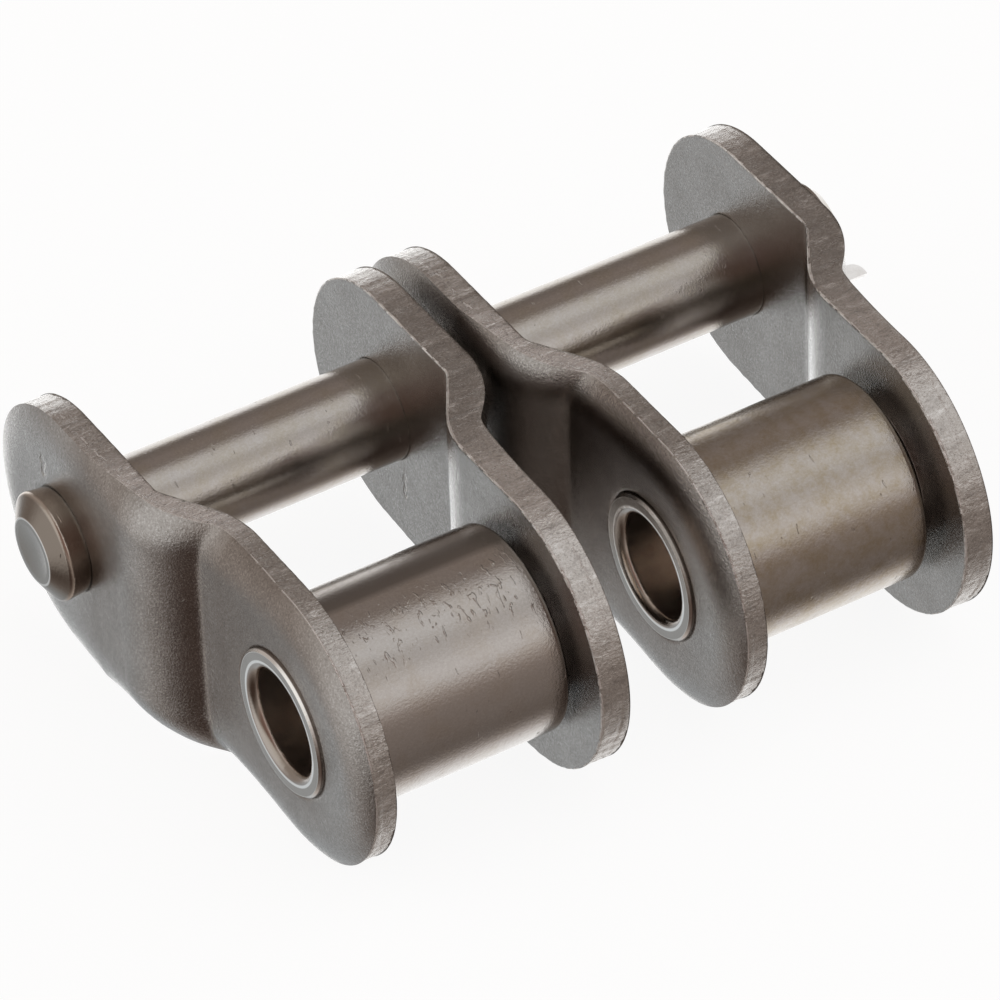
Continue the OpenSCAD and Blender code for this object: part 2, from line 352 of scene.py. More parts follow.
class Shader:
    """Short helpers for building one node tree."""

    def __init__(self, tree):
        self.tree = tree
        self.tree.nodes.clear()

    def node(self, kind, values=None, **settings):
        """New node; values are sockets to link or plain values, by input."""
        made = self.tree.nodes.new(kind)
        for name, value in settings.items():
            setattr(made, name, value)
        for name, value in (values or {}).items():
            if hasattr(value, "is_output"):
                self.tree.links.new(value, made.inputs[name])
            else:
                made.inputs[name].default_value = value
        return made

    def coordinates(self, stretch=(1.0, 1.0, 1.0)):
        """Object coordinates in millimetres, stretched along each axis."""
        source = self.node("ShaderNodeTexCoord").outputs["Object"]
        scale = tuple(s / MM for s in stretch)
        return self.node("ShaderNodeMapping", {"Vector": source, "Scale": scale}).outputs["Vector"]

    def sides(self):
        """The three object coordinates in millimetres, by the names X, Y and Z."""
        return self.node("ShaderNodeSeparateXYZ", {"Vector": self.coordinates()}).outputs

    def noise(self, vector, scale, detail=3.0, roughness=0.5, distortion=0.0):
        """Noise between 0 and 1, of this many swells in a millimetre."""
        values = {"Vector": vector, "Scale": scale, "Detail": detail,
                  "Roughness": roughness, "Distortion": distortion}
        return self.node("ShaderNodeTexNoise", values).outputs["Fac"]

    def fit(self, value, low, high, to_low=0.0, to_high=1.0):
        """Value moved from one range to another and kept inside it."""
        values = {"Value": value, "From Min": low, "From Max": high,
                  "To Min": to_low, "To Max": to_high}
        return self.node("ShaderNodeMapRange", values, clamp=True).outputs["Result"]

    def math(self, operation, first, second=0.0):
        """Result of one Math node."""
        return self.node("ShaderNodeMath", {0: first, 1: second}, operation=operation).outputs[0]

    def between(self, value, rise, fall, top=1.0):
        """0 up to the rise, top between rise and fall, and 0 past the fall."""
        return self.math("MULTIPLY", self.fit(value, *rise, 0.0, top),
                         self.fit(value, *fall, 1.0, 0.0))

    def blend(self, factor, first, second, kind="MIX"):
        """First colour mixed with the second, or multiplied by it, to the share of factor."""
        made = self.node("ShaderNodeMix", {"Factor": factor}, data_type="RGBA", blend_type=kind)
        for index, value in zip(MIX_COLOURS, (first, second)):
            if hasattr(value, "is_output"):
                self.tree.links.new(value, made.inputs[index])
            else:
                made.inputs[index].default_value = (*value, 1.0)
        return made.outputs[MIX_RESULT]

    def bump(self, height, distance, strength=1.0, normal=None):
        """Normal of a height that stands this many millimetres at 1."""
        values = {"Height": height, "Distance": distance * MM, "Strength": strength}
        if normal is not None:
            values["Normal"] = normal
        return self.node("ShaderNodeBump", values).outputs["Normal"]


def metal(name, colour, roughness, normal):
    """Material from functions that take the shader helper and return sockets."""
    material = bpy.data.materials.new(name)
    material.use_nodes = True
    shader = Shader(material.node_tree)
    values = {
        "Base Color": colour(shader),
        "Metallic": 1.0,
        "Roughness": roughness(shader),
        "Normal": normal(shader),
    }
    surface = shader.node("ShaderNodeBsdfPrincipled", values)
    shader.node("ShaderNodeOutputMaterial", {"Surface": surface.outputs["BSDF"]})
    return material


def speckled(shader, toned):
    """Colour broken up by fine bright and dull specks."""
    fine = shader.noise(shader.coordinates(), *SPECK_NOISE)
    bright = shader.fit(fine, *BRIGHT_SPECK_FADE)
    dull = shader.fit(fine, *DULL_SPECK_FADE)
    return shader.blend(bright, shader.blend(dull, toned, DULL_SPECK), BRIGHT_SPECK)


def zoned(shader, value, zones):
    """Colour that follows a value; zones are (value, colour) in rising order."""
    colour = zones[0][1]
    for (low, _), (high, wanted) in zip(zones, zones[1:]):
        colour = shader.blend(shader.fit(value, low, high), colour, wanted)
    return colour


def face_colour(shader):
    """Steel that varies in broad patches and in fine specks."""
    broad = shader.fit(shader.noise(shader.coordinates(), *BROAD_NOISE), *BROAD_FADE)
    return speckled(shader, shader.blend(broad, FACE_STEEL, FACE_TINT))


def pressed_colour(shader):
    """Face colour, rubbed bright where the die pressed the inner face over its first bend."""
    along = shader.sides()["Y"]
    facing = shader.node("ShaderNodeNewGeometry").outputs["True Normal"]
    sideways = shader.node("ShaderNodeSeparateXYZ", {"Vector": facing}).outputs["X"]
    bend = shader.between(along, PRESSED_START, PRESSED_END)
    rubbed = shader.math("MULTIPLY", bend, shader.fit(sideways, *PRESSED_SIDE))
    return shader.blend(rubbed, face_colour(shader), RUBBED)


def browned_colour(shader):
    """Face colour made browner and darker at both ends of the crank, fading out towards the bottom.
    """
    sides = shader.sides()
    bush_side = shader.between(sides["Y"], *BROWN_TONE_BUSH_SIDE)
    pin_side = shader.between(sides["Y"], *BROWN_TONE_PIN_SIDE, BROWN_TONE_PIN_SHARE)
    near = shader.math("MAXIMUM", bush_side, pin_side)
    above = shader.fit(sides["Z"], *BROWN_TONE_BOTTOM)
    share = shader.math("MULTIPLY", near, above)
    return shader.blend(share, face_colour(shader), BROWN_TONE, "MULTIPLY")


def edge_colour(zones):
    """Cut edge whose wear and painted light and shade change along the plate, with dull and bright
    streaks across it.
    """
    def build(shader):
        base = speckled(shader, zoned(shader, shader.sides()["Y"], zones))
        streaks = shader.noise(shader.coordinates(STREAK_STRETCH), *STREAK_NOISE)
        rubbed = shader.fit(streaks, *BRIGHT_STREAK_FADE)
        dark = shader.fit(streaks, *DULL_STREAK_FADE)
        return shader.blend(rubbed, shader.blend(dark, base, DULL_STREAK), BRIGHT_STREAK)
    return build


def patchy(low, high, scale=0.9, stretch=(1.0, 1.0, 1.0)):
    """Roughness that varies in patches between two values."""
    def build(shader):
        patches = shader.noise(shader.coordinates(stretch), scale, PATCH_DETAIL)
        return shader.fit(patches, *PATCH_FADE, low, high)
    return build


def nick_height(shader):
    """Ground level 1 that falls to 0 in the nicks of the plates' faces."""
    place = shader.coordinates()
    scale, detail = RAGGED_NOISE
    ragged = shader.node("ShaderNodeTexNoise", {"Vector": place, "Scale": scale, "Detail": detail})
    shift = shader.node("ShaderNodeVectorMath", {0: ragged.outputs["Color"], 1: (0.5, 0.5, 0.5)},
                        operation="SUBTRACT").outputs[0]
    nearest = None
    for centre, size in NICKS:
        away = shader.node("ShaderNodeVectorMath", {0: place, 1: centre}, operation="SUBTRACT")
        moved = shader.node("ShaderNodeVectorMath", {0: away.outputs[0], 1: shift},
                            operation="ADD")
        scaled = shader.node("ShaderNodeVectorMath", {0: moved.outputs[0], 1: size},
                             operation="DIVIDE")
        length = shader.node("ShaderNodeVectorMath", {0: scaled.outputs[0]}, operation="LENGTH")
        reach = length.outputs["Value"]
        nearest = reach if nearest is None else shader.math("MINIMUM", nearest, reach)
    return shader.fit(nearest, *NICK_FADE)


def face_normal(shader):
    """Fine grain, slow swell, shallow dents and the nicks."""
    place = shader.coordinates()
    fine = shader.noise(place, *GRAIN_NOISE)
    swell = shader.noise(place, *SWELL_NOISE)
    dents = shader.fit(shader.noise(place, *DENT_NOISE), *DENT_FADE)
    normal = shader.bump(fine, GRAIN_DEPTH)
    normal = shader.bump(swell, SWELL_DEPTH, normal=normal)
    normal = shader.bump(dents, DENT_DEPTH, DENT_STRENGTH, normal=normal)
    return shader.bump(nick_height(shader), NICK_DEPTH, normal=normal)


def edge_normal(streak_depth):
    """Streaks across the thickness that the shear leaves, and small chips."""
    def build(shader):
        streaks = shader.noise(shader.coordinates(SHEAR_STRETCH), *SHEAR_NOISE)
        chips = shader.noise(shader.coordinates(CHIP_STRETCH), *CHIP_NOISE)
        normal = shader.bump(streaks, streak_depth)
        return shader.bump(chips, CHIP_DEPTH, normal=normal)
    return build


def turned_normal(grain_depth, tick_depth):
    """Fine grain and sparse short ticks that run round the axis."""
    def build(shader):
        fine = shader.noise(shader.coordinates(), *TURNED_NOISE)
        strokes = shader.noise(shader.coordinates(TICK_STRETCH), *TICK_NOISE)
        ticks = shader.fit(strokes, *TICK_FADE)
        normal = shader.bump(fine, grain_depth)
        return shader.bump(ticks, tick_depth, normal=normal)
    return build


def scuffed_normal(shader):
    """Turned surface with torn scuffs where the left roller was dragged, on its upper front."""
    sides = shader.sides()
    zone = shader.math("MULTIPLY", shader.fit(sides["Z"], *SCUFF_HEIGHT),
                       shader.fit(sides["Y"], *SCUFF_FRONT))
    torn = shader.noise(shader.coordinates(SCUFF_STRETCH), *SCUFF_NOISE)
    marks = shader.math("MULTIPLY", shader.fit(torn, *SCUFF_FADE), zone)
    turned = turned_normal(grain_depth=0.014, tick_depth=0.02)(shader)
    return shader.bump(marks, SCUFF_DEPTH, normal=turned)


def scuffed_colour(shader):
    """Worn steel with patches of temper colour and a dark band beside the scuffs."""
    sides = shader.sides()
    band = shader.between(sides["Y"], BAND_START, BAND_END)
    upper = shader.math("MULTIPLY", band, shader.fit(sides["Z"], *BAND_HEIGHT))
    steel = tinted(WORN_STEEL, ROLLER_TINT, low=0.45, high=0.75)(shader)
    return shader.blend(upper, steel, BAND)


def tinted(base, tint, low, high, scale=0.45):
    """Steel with patches of temper colour."""
    def build(shader):
        place = shader.coordinates()
        patches = shader.fit(shader.noise(place, scale, *TINT_DETAIL), low, high)
        specks = shader.fit(shader.noise(place, *MOTTLE_NOISE), *MOTTLE_FADE)
        return shader.blend(specks, shader.blend(patches, base, tint), TURNED_SPECK)
    return build


def radius_from(shader, centre):
    """Distance from an axis that runs along X, and place along it, in millimetres."""
    sides = shader.sides()
    across = shader.math("POWER", shader.math("SUBTRACT", sides["Y"], centre), 2.0)
    upward = shader.math("POWER", sides["Z"], 2.0)
    return shader.math("SQRT", shader.math("ADD", across, upward)), sides["X"]


def bush_colour(shader):
    """Pale brown bore with painted light, brown mouth, and painted highlight rings where the lip
    begins and at the rim.
    """
    radius, _ = radius_from(shader, 0.0)
    mouth = BORE_RADIUS + MOUTH_WIDTH
    return zoned(shader, radius, (
        (BORE_RADIUS, BORE),
        (BORE_RADIUS + 0.05, MOUTH_START),
        (mouth, MOUTH_END),
        (mouth + 0.06, INNER_RING_HIGHLIGHT),
        (mouth + 0.16, INNER_RING_HIGHLIGHT),
        (mouth + 0.22, END_FACE),
        (BUSH_RADIUS - 0.20, END_FACE),
        (BUSH_RADIUS - 0.14, OUTER_RING_HIGHLIGHT),
        (BUSH_RADIUS - 0.04, OUTER_RING_HIGHLIGHT),
        (BUSH_RADIUS - 0.02, WORN_STEEL),
    ))


def pin_colour(shader):
    """Worn shank with patches of temper colour, and a darker upset head with a painted highlight
    ring round its face.
    """
    radius, along = radius_from(shader, PITCH)
    shank = tinted(WORN_STEEL, PIN_TINT, low=0.40, high=0.70)(shader)
    head = zoned(shader, radius, (
        (0.0, HEAD_MIDDLE),
        (HEAD_FACE - 0.12, HEAD_FLAT),
        (HEAD_FACE - 0.08, HEAD_RING_HIGHLIGHT),
        (HEAD_FACE, HEAD_RING_HIGHLIGHT),
        (HEAD_FACE + 0.05, HEAD_CONE),
        (PIN_RADIUS, HEAD_CONE),
        (PIN_RADIUS + 0.15, HEAD_SIDE),
    ))
    on_head = shader.fit(along, HEAD_START - 0.1, HEAD_START + 0.1, 1.0, 0.0)
    return shader.blend(on_head, shank, head)


def make_materials():
    """Every steel by the name of its look."""
    face_roughness = patchy(0.09, 0.16, scale=0.8)
    edge_roughness = patchy(0.19, 0.29, scale=3.0, stretch=EDGE_PATCH_STRETCH)
    smooth_edge = edge_normal(streak_depth=0.025)
    rough_edge = edge_normal(streak_depth=0.055)
    return {
        "face": metal("plate_face", pressed_colour, face_roughness, face_normal),
        "filmed": metal("plate_filmed", browned_colour, face_roughness, face_normal),
        "edge": metal("plate_edge", edge_colour(EDGE_WEAR_AND_LIGHT_ZONES), edge_roughness, smooth_edge),
        "worn_edge": metal("plate_worn_edge", edge_colour(WORN_EDGE_WEAR_AND_LIGHT_ZONES),
                           edge_roughness, rough_edge),
        "burr": metal("burr_steel", tinted(BURR_STEEL_AND_GLINT, BURR_GLINT_TINT, low=0.4, high=0.6, scale=3.0),
                      patchy(0.38, 0.5), smooth_edge),
        "bush": metal("bush_steel", bush_colour, patchy(0.14, 0.24),
                      turned_normal(grain_depth=0.006, tick_depth=0.0)),
        "roller": metal("roller_steel", scuffed_colour, patchy(0.13, 0.20), scuffed_normal),
        "tempered": metal("tempered_steel",
                          tinted(TEMPERED_STEEL, TEMPERED_TINT, low=0.38, high=0.68, scale=1.1),
                          patchy(0.18, 0.26), turned_normal(grain_depth=0.012, tick_depth=0.02)),
        "pin": metal("pin_steel", pin_colour, patchy(0.16, 0.23),
                     turned_normal(grain_depth=0.010, tick_depth=0.02)),
        "cotter": metal("cotter_steel", tinted(COTTER_STEEL_AND_HIGHLIGHT, COTTER_HIGHLIGHT_TINT, low=0.5, high=0.75),
                        patchy(0.25, 0.35), turned_normal(grain_depth=0.02, tick_depth=0.01)),
    }


def inner_face(y):
    """Height of the inner face: flat, full bend, slope, hollow bend, flat."""
    start = FIRST_BEND - FULL_BEND * tan(SLOPE / 2)
    stop = SECOND_BEND + HOLLOW_BEND * tan(SLOPE / 2)
    if y <= start:
        return 0.0
    if y >= stop:
        return CRANK
    if y < start + FULL_BEND * sin(SLOPE):
        return FULL_BEND - sqrt(FULL_BEND ** 2 - (y - start) ** 2)
    if y > stop - HOLLOW_BEND * sin(SLOPE):
        return CRANK - HOLLOW_BEND + sqrt(HOLLOW_BEND ** 2 - (stop - y) ** 2)
    return (y - FIRST_BEND) * tan(SLOPE)


def outer_face(y, z):
    """Height of the outer face: flat, crease that bows towards the flanks, full curve, flat."""
    bow = min(abs(z) / BUSH_END_RADIUS, 1.0) ** BOW_POWER
    reach = CURVE_END - CREASE_MIDDLE + CREASE_BOW * bow
    leaning = min(max((y - LEAN_START) / (CREASE_MIDDLE - LEAN_START), 0.0), 1.0)
    flat = THICKNESS + LEAN * leaning ** 2
    if y < CURVE_END - reach - 1:
        return flat
    if y >= CURVE_END:
        return THICKNESS + CRANK
    curve = (CRANK ** 2 + reach ** 2) / (2 * CRANK)
    full = THICKNESS + CRANK - curve + sqrt(max(curve ** 2 - (CURVE_END - y) ** 2, 0.0))
    soft = CREASE_SOFTNESS[0] + (CREASE_SOFTNESS[1] - CREASE_SOFTNESS[0]) * bow
    fade = min((CURVE_END - y) / SOFTNESS_FADE, 1.0)
    return (flat + full + sqrt((full - flat) ** 2 + soft ** 2 * fade)) / 2


def end_share(y):
    """Share of the way from the bush's centre to the pin's, kept between 0 and 1."""
    return min(max(y / PITCH, 0.0), 1.0)


def end_radius(share):
    """Radius of the plate's outline at a share of the way between the two centres."""
    return BUSH_END_RADIUS + (PIN_END_RADIUS - BUSH_END_RADIUS) * share


def outline_points():
    """Places round the plate's rim: centre along y, angle from +Y, end radius there."""
    half = pi / 2 - FLANK
    along = sqrt(PITCH ** 2 - (BUSH_END_RADIUS - PIN_END_RADIUS) ** 2)
    flank_count = ceil(along / EDGE_STEP)
    pin_count = ceil(PIN_END_RADIUS * 2 * half / EDGE_STEP)
    bush_count = ceil(BUSH_END_RADIUS * (2 * pi - 2 * half) / EDGE_STEP)
    points = []
    for i in range(pin_count):
        points.append((PITCH, -half + 2 * half * i / pin_count, PIN_END_RADIUS))
    for i in range(flank_count):
        share = 1 - i / flank_count
        points.append((PITCH * share, half, end_radius(share)))
    for i in range(bush_count):
        points.append((0.0, half + (2 * pi - 2 * half) * i / bush_count, BUSH_END_RADIUS))
    for i in range(flank_count):
        share = i / flank_count
        points.append((PITCH * share, -half, end_radius(share)))
    return points


def inset_point(place, inset):
    """Point that lies inside a place on the rim."""
    centre, angle, radius = place
    return (centre + (radius - inset) * cos(angle), (radius - inset) * sin(angle))


def ring_of(centre, radius, count):
    """Points evenly round a hole."""
    return [(centre + radius * cos(2 * pi * i / count), radius * sin(2 * pi * i / count))
            for i in range(count)]


def grid_inside(holes):
    """Inner points of a face, clear of the rim and of the holes, closer over the bends."""
    points = []
    y = -BUSH_END_RADIUS
    row = 0
    while y < PITCH + PIN_END_RADIUS:
        share = end_share(y)
        reach = end_radius(share) - ROLL_RINGS[-1] - RIM_ROOM
        room = reach ** 2 - (y - PITCH * share) ** 2
        if room > 0:
            top = sqrt(room)
            count = max(2, ceil(2 * top / POINT_STEP))
            for i in range(count + 1):
                offset = 0.5 * (row % 2)
                z = -top + 2 * top * min(i + offset, count) / count
                clear = all((y - c) ** 2 + z ** 2 > (r + HOLE_RINGS[-1] + HOLE_ROOM) ** 2
                            for c, r in holes)
                if clear:
                    points.append((y, z))
        y += BEND_ROW_STEP if BENDS[0] < y < BENDS[1] else ROW_STEP
        row += 1
    return points


def face_layout():
    """Flat layout of one plate face.

    Gives the points, how far each lies inside the rim (round a hole: minus one and minus its
    distance), the polygons, the rim's loop with its angles, and the loops of the holes' edges.
    """
    rim = outline_points()
    holes = [(0.0, BUSH_RADIUS), (PITCH, PIN_RADIUS)]
    points = []
    insets = []
    polygons = []

    def add_loop(loop, inset):
        first = len(points)
        points.extend(loop)
        insets.extend([inset] * len(loop))
        return list(range(first, first + len(loop)))

    def join(outside, inside):
        count = len(outside)
        for i in range(count):
            j = (i + 1) % count
            polygons.append((outside[i], outside[j], inside[j], inside[i]))

    rings = [add_loop([inset_point(p, inset) for p in rim], inset) for inset in ROLL_RINGS]
    for outside, inside in zip(rings, rings[1:]):
        join(outside, inside)
    hole_loops = []
    hole_edges = []
    for centre, radius in holes:
        count = ceil(2 * pi * radius / HOLE_STEP)
        loops = [add_loop(ring_of(centre, radius + r, count), -1.0 - r) for r in HOLE_RINGS]
        for inside, outside in zip(loops, loops[1:]):
            join(outside, inside)
        hole_edges.append(loops[0])
        hole_loops.append(loops[-1])
    first_free = len(points)
    free = grid_inside(holes)
    points.extend(free)
    insets.extend([ROLL_RINGS[-1] + 1.0] * len(free))
    borders = [rings[-1]] + hole_loops
    used = [i for loop in borders for i in loop] + list(range(first_free, len(points)))
    place_of = {index: n for n, index in enumerate(used)}
    fixed = []
    for loop in borders:
        following = loop[1:] + loop[:1]
        fixed.extend((place_of[i], place_of[j]) for i, j in zip(loop, following))
    flat = [Vector(points[i]) for i in used]
    verts, _, faces, sources, _, _ = delaunay_2d_cdt(flat, fixed, [], 0, 1e-6)
    back = [used[s[0]] for s in sources]
    for face in faces:
        middle = sum((verts[i] for i in face), Vector((0.0, 0.0))) / len(face)
        share = end_share(middle.x)
        radius = end_radius(share) - ROLL_RINGS[-1]
        inside_rim = (middle.x - PITCH * share) ** 2 + middle.y ** 2 < (radius + SNAP) ** 2
        outside_holes = all((middle.x - c) ** 2 + middle.y ** 2 > (r + HOLE_RINGS[-1] - SNAP) ** 2
                            for c, r in holes)
        if inside_rim and outside_holes:
            polygons.append(tuple(back[i] for i in face))
    angles = [angle for _, angle, _ in rim]
    return points, insets, polygons, rings[0], angles, hole_edges


def rim_roll(inset, y, rolls):
    """Depth of the rounding that shearing leaves along the rim of the outer face."""
    if inset >= ROLL_WIDTH:
        return 0.0
    bush, crank, pin = rolls
    first, last = (min(max((y - start) / length, 0.0), 1.0)
                   for start, length in (ROLL_TO_CRANK, ROLL_TO_PIN))
    depth = bush + (crank - bush) * first + (pin - crank) * last
    return depth * (1 - inset / ROLL_WIDTH) ** ROLL_POWER


def hole_roll(inset, depth, width):
    """Depth of the rounding round a hole."""
    distance = -1.0 - inset
    if distance >= width:
        return 0.0
    return depth * (1 - distance / width) ** 2


def grain(y, z, seed, scale):
    """Smooth noise between -1 and 1 at a place on a plate."""
    return noise.noise(Vector((y * scale, z * scale, seed)))


def tear_line(y, z, seed):
    """Share of the thickness at which the clean cut ends and the metal tore."""
    slow, quick = TEAR_SCALES
    wander = TEAR_WANDER * grain(y, z, seed, slow) + TEAR_JITTER * grain(y, z, seed + 9, quick)
    return TEAR + wander


def burr_depth(y, z, seed, burr):
    """How far the burr stands back from the plate's corner at a place on the rim."""
    share = max(0.0, BURR_USUAL + BURR_GRAIN * grain(y, z, seed, BURR_SCALE))
    return burr * (BURR_LEAST + BURR_MORE * share)


def sheared_push(share, angle, y, z, seed, burr):
    """Inward push of the cut wall, share 0 at the rolled face and 1 at the burr face."""
    in_tip = abs(angle) < PIN_TIP if y > PITCH / 2 else BUSH_TIP[0] < angle < BUSH_TIP[1]
    line = tear_line(y, z, seed)
    corner = CUT_CORNER[0] * max(0.0, 1 - share / CUT_CORNER[1]) ** 2
    torn = min(max((share - line) / TORN_START, 0.0), 1.0)
    crack = CRACK[0] * max(0.0, 1 - abs(share - line) / CRACK[1])
    crack *= 0.5 + grain(y, z, seed + 3, CRACK_SCALE)
    broad, fine = STREAK_SCALES
    streak = grain(y, z, seed + 2, broad) + FINE_STREAK * grain(y, z, seed + 4, fine)
    speckle = grain(y, z, share * SPECKLE_ROWS + seed, SPECKLE_SCALE)
    push = corner + crack + torn * (TORN[0] + TORN[1] * speckle)
    if in_tip or (y > ROUGH_FLANK and angle > 0):
        push += END_PUSH + END_STREAKS[0 if burr > BURRED else 1] * streak
    else:
        push += FLANK_PUSH * (1 + streak)
    at_burr = max(0.0, (share - BURR_START) / (1 - BURR_START))
    return max(push + burr_depth(y, z, seed + 6, burr) * at_burr, 0.0)


def plate_mesh(name, layout, side, shift, seed, rolls, burr):
    """One plate as a closed mesh; side +1 cranks towards +X and -1 towards -X."""
    points, insets, polygons, rim, angles, hole_edges = layout
    count = len(points)
    places = []
    for (y, z), inset in zip(points, insets):
        wave = WAVE * grain(y, z, seed, WAVE_SCALE)
        depth = rim_roll(inset, y, rolls) if inset >= 0 else hole_roll(inset, *OUTER_HOLE_ROLL)
        places.append((outer_face(y, z) - depth - SINK + wave, y, z))
    for (y, z), inset in zip(points, insets):
        wave = WAVE * grain(y, z, seed + 1, WAVE_SCALE)
        if inset >= 0:
            near_rim = max(0.0, 1 - inset / BURR_WIDTH)
            depth = BURR_SINK + burr_depth(y, z, seed + 5, burr) * near_rim
        else:
            depth = hole_roll(inset, *INNER_HOLE_ROLL)
        places.append((inner_face(y) + depth + SINK + wave, y, z))
    faces = [tuple(reversed(p)) for p in polygons]
    faces += [tuple(i + count for i in p) for p in polygons]
    kinds = [FACE] * len(polygons)
    for polygon in polygons:
        lip = burr > BURRED and all(0 <= insets[i] < BURR_WIDTH for i in polygon)
        y, z = points[polygon[0]]
        rubbed = lip and grain(y, z, seed + 5, BURR_SCALE) > RUBBED_BURR_GRAIN
        kinds.append(BURR if rubbed else FACE)

    def wall(loop, pushes):
        """Rows of points from the outer face's loop to the inner face's loop."""
        rows = [loop]
        for r in range(1, WALL_ROWS):
            share = r / WALL_ROWS
            row = []
            for n, i in enumerate(loop):
                top = places[i][0]
                low = places[i + count][0]
                y, z = points[i]
                across, along, push = pushes(share, n, y, z)
                row.append(len(places))
                places.append((top + (low - top) * share, y - across * push, z - along * push))
            rows.append(row)
        rows.append([i + count for i in loop])
        for number, (high, low) in enumerate(zip(rows, rows[1:])):
            for n in range(len(loop)):
                m = (n + 1) % len(loop)
                y, z = points[loop[n]]
                faces.append((high[n], high[m], low[m], low[n]))
                kinds.append(BURR if worn((number + 0.5) / WALL_ROWS, y, z) else EDGE)

    def worn(share, y, z):
        """Whether the wall is rubbed bright and takes the painted glint: on the burr, the corner or
        the tear line.
        """
        if burr > BURRED:
            return (share > RUBBED_BURR
                    and grain(y, z, seed + 6, BURR_SCALE) > RUBBED_BURR_GRAIN)
        rub = grain(y, z, seed + 6, RUB_SCALE)
        if y < RUBBED_CORNER_END:
            return share < RUBBED_CORNER and rub > RUBBED_CORNER_GRAIN
        past_tear = share - tear_line(y, z, seed)
        return (y > RUBBED_TEAR_START and 0 < past_tear < RUBBED_TEAR
                and rub > RUBBED_TEAR_GRAIN)

    def rim_push(share, n, y, z):
        angle = angles[n]
        return cos(angle), sin(angle), sheared_push(share, angle, y, z, seed, burr)

    wall(rim, rim_push)
    for angle, i in zip(angles, rim):
        for share, index in ((0.0, i), (1.0, i + count)):
            x, y, z = places[index]
            push = sheared_push(share, angle, y, z, seed, burr)
            places[index] = (x, y - cos(angle) * push, z - sin(angle) * push)
    for loop in hole_edges:
        wall(list(reversed(loop)), lambda *_: (0.0, 0.0, 0.0))
    mesh = bpy.data.meshes.new(name)
    verts = [((shift + side * x) * MM, y * MM, z * MM) for x, y, z in places]
    if side < 0:
        faces = [tuple(reversed(f)) for f in faces]
    mesh.from_pydata(verts, [], faces)
    mesh.polygons.foreach_set("material_index", kinds)
    mesh.polygons.foreach_set("use_smooth", [True] * len(faces))
    mesh.set_sharp_from_angle(angle=SHARP)
    mesh.update()
    return mesh


# Each plate: side it cranks to, roll of its rim at bush, crank and pin, strength of its burr
PLATES = (
    ("plate_outer_left", -1, (0.80, 1.05, 0.45), 0.3),
    ("plate_inner_left", 1, (0.30, 0.25, 0.25), 1.0),
    ("plate_inner_right", -1, (0.80, 1.05, 0.45), 0.3),
    ("plate_outer_right", 1, (0.30, 0.25, 0.25), 1.0),
)
SEED_STEP = 7.3


def add_plates(materials):
    """The four plates as sheared and cranked, each in the place of its own node."""
    layout = face_layout()
    for number, (node, side, rolls, burr) in enumerate(PLATES):
        low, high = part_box(node)
        start = low.x / MM if side > 0 else high.x / MM
        name = node.replace("plate", "sheared_plate")
        mesh = plate_mesh(name, layout, side, start, SEED_STEP * (number + 1), rolls, burr)
        plate = bpy.data.objects.new(name, mesh)
        bpy.context.scene.collection.objects.link(plate)
        plate.data.materials.append(materials["filmed" if side < 0 else "face"])
        plate.data.materials.append(materials["worn_edge" if side < 0 else "edge"])
        plate.data.materials.append(materials["burr"])
        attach(plate, "link")
        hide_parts(node)


def dress_nodes(materials):
    """Materials of the pieces that keep the frame's own mesh."""
    looks = {"bush_left": "bush", "bush_right": "bush", "roller_left": "roller",
             "roller_right": "tempered", "pin": "pin", "cotter_pin": "cotter"}
    for node, look in looks.items():
        piece = nodes[node]
        piece.data.materials.clear()
        piece.data.materials.append(materials[look])


# Floor: half width in metres, brightness to the camera, and how pale it is to the light
FLOOR_REACH = 3.0
FLOOR_GLOW = 0.91
FLOOR_TONE = 0.13


def add_floor():
    """Pale floor that takes the shadow, and is clear when seen from below."""
    mesh = bpy.data.meshes.new("floor")
    height = -BUSH_END_RADIUS * MM
    corners = [(x * FLOOR_REACH, y * FLOOR_REACH, height)
               for x, y in ((-1, -1), (1, -1), (1, 1), (-1, 1))]
    mesh.from_pydata(corners, [], [(0, 1, 2, 3)])
    floor = bpy.data.objects.new("floor", mesh)
    bpy.context.scene.collection.objects.link(floor)
    material = bpy.data.materials.new("floor_white")
    material.use_nodes = True
    shader = Shader(material.node_tree)
    seen = shader.node("ShaderNodeLightPath").outputs["Is Camera Ray"]
    glow = shader.node("ShaderNodeEmission",
                       {"Color": (1.0, 1.0, 1.0, 1.0),
                        "Strength": shader.math("MULTIPLY", seen, FLOOR_GLOW)})
    matt = shader.node("ShaderNodeBsdfDiffuse",
                       {"Color": (FLOOR_TONE, FLOOR_TONE, FLOOR_TONE, 1.0)})
    top = shader.node("ShaderNodeAddShader", {0: glow.outputs[0], 1: matt.outputs[0]})
    from_below = shader.node("ShaderNodeNewGeometry").outputs["Backfacing"]
    clear = shader.node("ShaderNodeBsdfTransparent")
    both = shader.node("ShaderNodeMixShader",
                       {0: from_below, 1: top.outputs[0], 2: clear.outputs[0]})
    shader.node("ShaderNodeOutputMaterial", {"Surface": both.outputs[0]})
    mesh.materials.append(material)
    floor.visible_glossy = False


